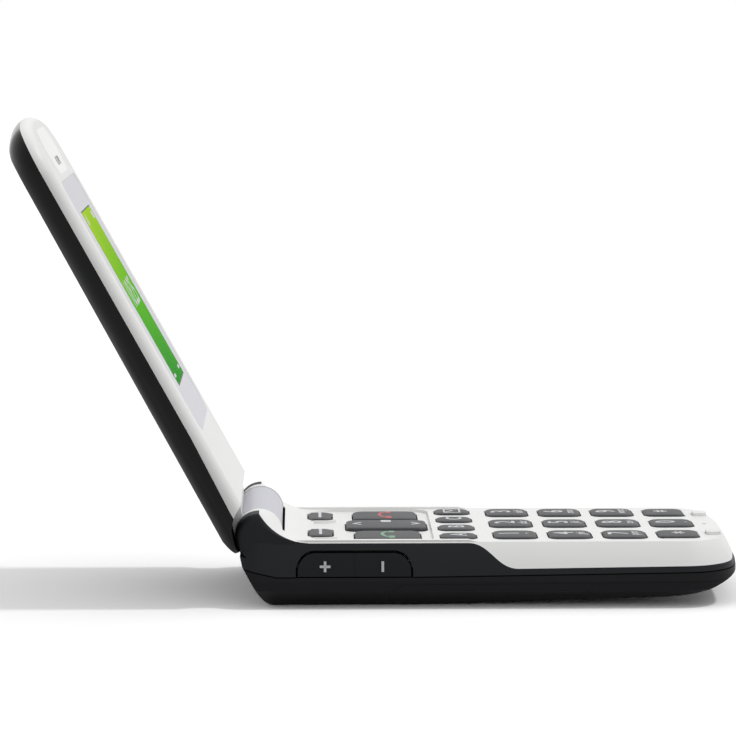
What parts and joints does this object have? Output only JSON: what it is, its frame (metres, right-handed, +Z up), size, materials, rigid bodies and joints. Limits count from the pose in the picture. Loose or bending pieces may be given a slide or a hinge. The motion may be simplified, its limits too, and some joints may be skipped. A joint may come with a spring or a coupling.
{
  "type": "flip phone",
  "caption": "Open clamshell phone with large grey keys on a white keypad plate, dark side frame with volume rocker, and a white lid with a glossy black back and a bright screen",
  "frame": {"origin": "centre of the flat rest face under the hinge half of the base, on the surface the phone stands on", "axes": "+X from the hinge towards the keypad end, +Y to the phone's right side (away from the volume rocker), +Z up"},
  "size_m": [0.1464, 0.053, 0.0961],
  "materials": {
    "white_plastic": "semi-gloss moulded",
    "charcoal_plastic": "fine satin texture",
    "rocker_plastic": "satin",
    "light_grey_plastic": "smooth satin",
    "gloss_black_plastic": "polished",
    "key_grey_plastic": "satin",
    "clear_window": "clear, printed border behind",
    "dark_glass": "polished",
    "screen_panel": "glossy panel",
    "battery_wrap": "film wrap",
    "circuit_board": "solder mask",
    "silicone": "matte",
    "thin_steel": "stamped sheet",
    "screw_steel": "plated",
    "contact_gold": "gold plated",
    "black_plastic": "moulded"
  },
  "bodies": {
    "base": {"keypad_fascia": "white_plastic", "side_frame": "charcoal_plastic", "lower_housing": "charcoal_plastic", "battery": "battery_wrap", "main_circuit_board": "circuit_board", "keypad_membrane": "silicone", "key_domes": "thin_steel", "loudspeaker": "black_plastic", "vibration_motor": "thin_steel", "antenna": "black_plastic", "charging_socket": "thin_steel", "headset_socket": "black_plastic", "sim_holder": "thin_steel", "battery_contacts": "contact_gold", "microphone": "thin_steel", "volume_switch_board": "circuit_board", "lid_bumpers": "silicone", "housing_screws": "screw_steel"},
    "battery_cover": {"battery_cover": "charcoal_plastic"},
    "volume_rocker": {"volume_rocker": "rocker_plastic"},
    "soft_key_left": {"soft_key_left": "key_grey_plastic"},
    "soft_key_right": {"soft_key_right": "key_grey_plastic"},
    "call_key": {"call_key": "key_grey_plastic"},
    "navigation_key": {"navigation_key": "key_grey_plastic"},
    "end_key": {"end_key": "key_grey_plastic"},
    "shortcut_key_1": {"shortcut_key_1": "key_grey_plastic"},
    "shortcut_key_2": {"shortcut_key_2": "key_grey_plastic"},
    "shortcut_key_3": {"shortcut_key_3": "key_grey_plastic"},
    "shortcut_key_4": {"shortcut_key_4": "key_grey_plastic"},
    "digit_key_1": {"digit_key_1": "key_grey_plastic"},
    "digit_key_2": {"digit_key_2": "key_grey_plastic"},
    "digit_key_3": {"digit_key_3": "key_grey_plastic"},
    "digit_key_4": {"digit_key_4": "key_grey_plastic"},
    "digit_key_5": {"digit_key_5": "key_grey_plastic"},
    "digit_key_6": {"digit_key_6": "key_grey_plastic"},
    "digit_key_7": {"digit_key_7": "key_grey_plastic"},
    "digit_key_8": {"digit_key_8": "key_grey_plastic"},
    "digit_key_9": {"digit_key_9": "key_grey_plastic"},
    "star_key": {"star_key": "key_grey_plastic"},
    "digit_key_0": {"digit_key_0": "key_grey_plastic"},
    "hash_key": {"hash_key": "key_grey_plastic"},
    "lid": {"lid_outer_shell": "gloss_black_plastic", "lid_inner_frame": "white_plastic", "front_window": "clear_window", "display_module": "screen_panel", "lid_circuit_board": "circuit_board", "earpiece": "black_plastic", "status_window": "dark_glass", "status_display": "screen_panel", "camera_module": "black_plastic", "camera_lens": "dark_glass", "lid_screws": "screw_steel", "hinge_barrel": "light_grey_plastic", "hinge_cam_unit": "screw_steel", "hinge_pin": "screw_steel"}
  },
  "joints": [
    {"name": "lid_hinge", "type": "hinge", "parent": "base", "child": "lid", "pos_m": [-0.0157, 0, 0.014], "axis": [0, -1, 0], "range_deg": [-119.1, 2]},
    {"name": "volume_rocker_tilt", "type": "hinge", "parent": "base", "child": "volume_rocker", "pos_m": [0.0032, -0.0235, 0.0086], "axis": [0, 0, 1], "range_deg": [-1.5, 1.5], "stiffness_Nm_per_rad": 0.05},
    {"name": "battery_cover_slide", "type": "slide", "parent": "base", "child": "battery_cover", "axis": [1, 0, 0], "range_m": [0, 0.004]},
    {"name": "soft_key_left_press", "type": "slide", "parent": "base", "child": "soft_key_left", "axis": [0, 0, 1], "range_m": [-0.0003, 0], "stiffness_N_per_m": 300, "springref_m": 0.002},
    {"name": "soft_key_right_press", "type": "slide", "parent": "base", "child": "soft_key_right", "axis": [0, 0, 1], "range_m": [-0.0003, 0], "stiffness_N_per_m": 300, "springref_m": 0.002},
    {"name": "call_key_press", "type": "slide", "parent": "base", "child": "call_key", "axis": [0, 0, 1], "range_m": [-0.0003, 0], "stiffness_N_per_m": 300, "springref_m": 0.002},
    {"name": "navigation_key_press", "type": "slide", "parent": "base", "child": "navigation_key", "axis": [0, 0, 1], "range_m": [-0.0003, 0], "stiffness_N_per_m": 300, "springref_m": 0.002},
    {"name": "end_key_press", "type": "slide", "parent": "base", "child": "end_key", "axis": [0, 0, 1], "range_m": [-0.0003, 0], "stiffness_N_per_m": 300, "springref_m": 0.002},
    {"name": "shortcut_key_1_press", "type": "slide", "parent": "base", "child": "shortcut_key_1", "axis": [0, 0, 1], "range_m": [-0.0003, 0], "stiffness_N_per_m": 300, "springref_m": 0.002},
    {"name": "shortcut_key_2_press", "type": "slide", "parent": "base", "child": "shortcut_key_2", "axis": [0, 0, 1], "range_m": [-0.0003, 0], "stiffness_N_per_m": 300, "springref_m": 0.002},
    {"name": "shortcut_key_3_press", "type": "slide", "parent": "base", "child": "shortcut_key_3", "axis": [0, 0, 1], "range_m": [-0.0003, 0], "stiffness_N_per_m": 300, "springref_m": 0.002},
    {"name": "shortcut_key_4_press", "type": "slide", "parent": "base", "child": "shortcut_key_4", "axis": [0, 0, 1], "range_m": [-0.0003, 0], "stiffness_N_per_m": 300, "springref_m": 0.002},
    {"name": "digit_key_1_press", "type": "slide", "parent": "base", "child": "digit_key_1", "axis": [0, 0, 1], "range_m": [-0.0003, 0], "stiffness_N_per_m": 300, "springref_m": 0.002},
    {"name": "digit_key_2_press", "type": "slide", "parent": "base", "child": "digit_key_2", "axis": [0, 0, 1], "range_m": [-0.0003, 0], "stiffness_N_per_m": 300, "springref_m": 0.002},
    {"name": "digit_key_3_press", "type": "slide", "parent": "base", "child": "digit_key_3", "axis": [0, 0, 1], "range_m": [-0.0003, 0], "stiffness_N_per_m": 300, "springref_m": 0.002},
    {"name": "digit_key_4_press", "type": "slide", "parent": "base", "child": "digit_key_4", "axis": [0, 0, 1], "range_m": [-0.0003, 0], "stiffness_N_per_m": 300, "springref_m": 0.002},
    {"name": "digit_key_5_press", "type": "slide", "parent": "base", "child": "digit_key_5", "axis": [0, 0, 1], "range_m": [-0.0003, 0], "stiffness_N_per_m": 300, "springref_m": 0.002},
    {"name": "digit_key_6_press", "type": "slide", "parent": "base", "child": "digit_key_6", "axis": [0, 0, 1], "range_m": [-0.0003, 0], "stiffness_N_per_m": 300, "springref_m": 0.002},
    {"name": "digit_key_7_press", "type": "slide", "parent": "base", "child": "digit_key_7", "axis": [0, 0, 1], "range_m": [-0.0003, 0], "stiffness_N_per_m": 300, "springref_m": 0.002},
    {"name": "digit_key_8_press", "type": "slide", "parent": "base", "child": "digit_key_8", "axis": [0, 0, 1], "range_m": [-0.0003, 0], "stiffness_N_per_m": 300, "springref_m": 0.002},
    {"name": "digit_key_9_press", "type": "slide", "parent": "base", "child": "digit_key_9", "axis": [0, 0, 1], "range_m": [-0.0003, 0], "stiffness_N_per_m": 300, "springref_m": 0.002},
    {"name": "star_key_press", "type": "slide", "parent": "base", "child": "star_key", "axis": [0, 0, 1], "range_m": [-0.0003, 0], "stiffness_N_per_m": 300, "springref_m": 0.002},
    {"name": "digit_key_0_press", "type": "slide", "parent": "base", "child": "digit_key_0", "axis": [0, 0, 1], "range_m": [-0.0003, 0], "stiffness_N_per_m": 300, "springref_m": 0.002},
    {"name": "hash_key_press", "type": "slide", "parent": "base", "child": "hash_key", "axis": [0, 0, 1], "range_m": [-0.0003, 0], "stiffness_N_per_m": 300, "springref_m": 0.002}
  ]
}
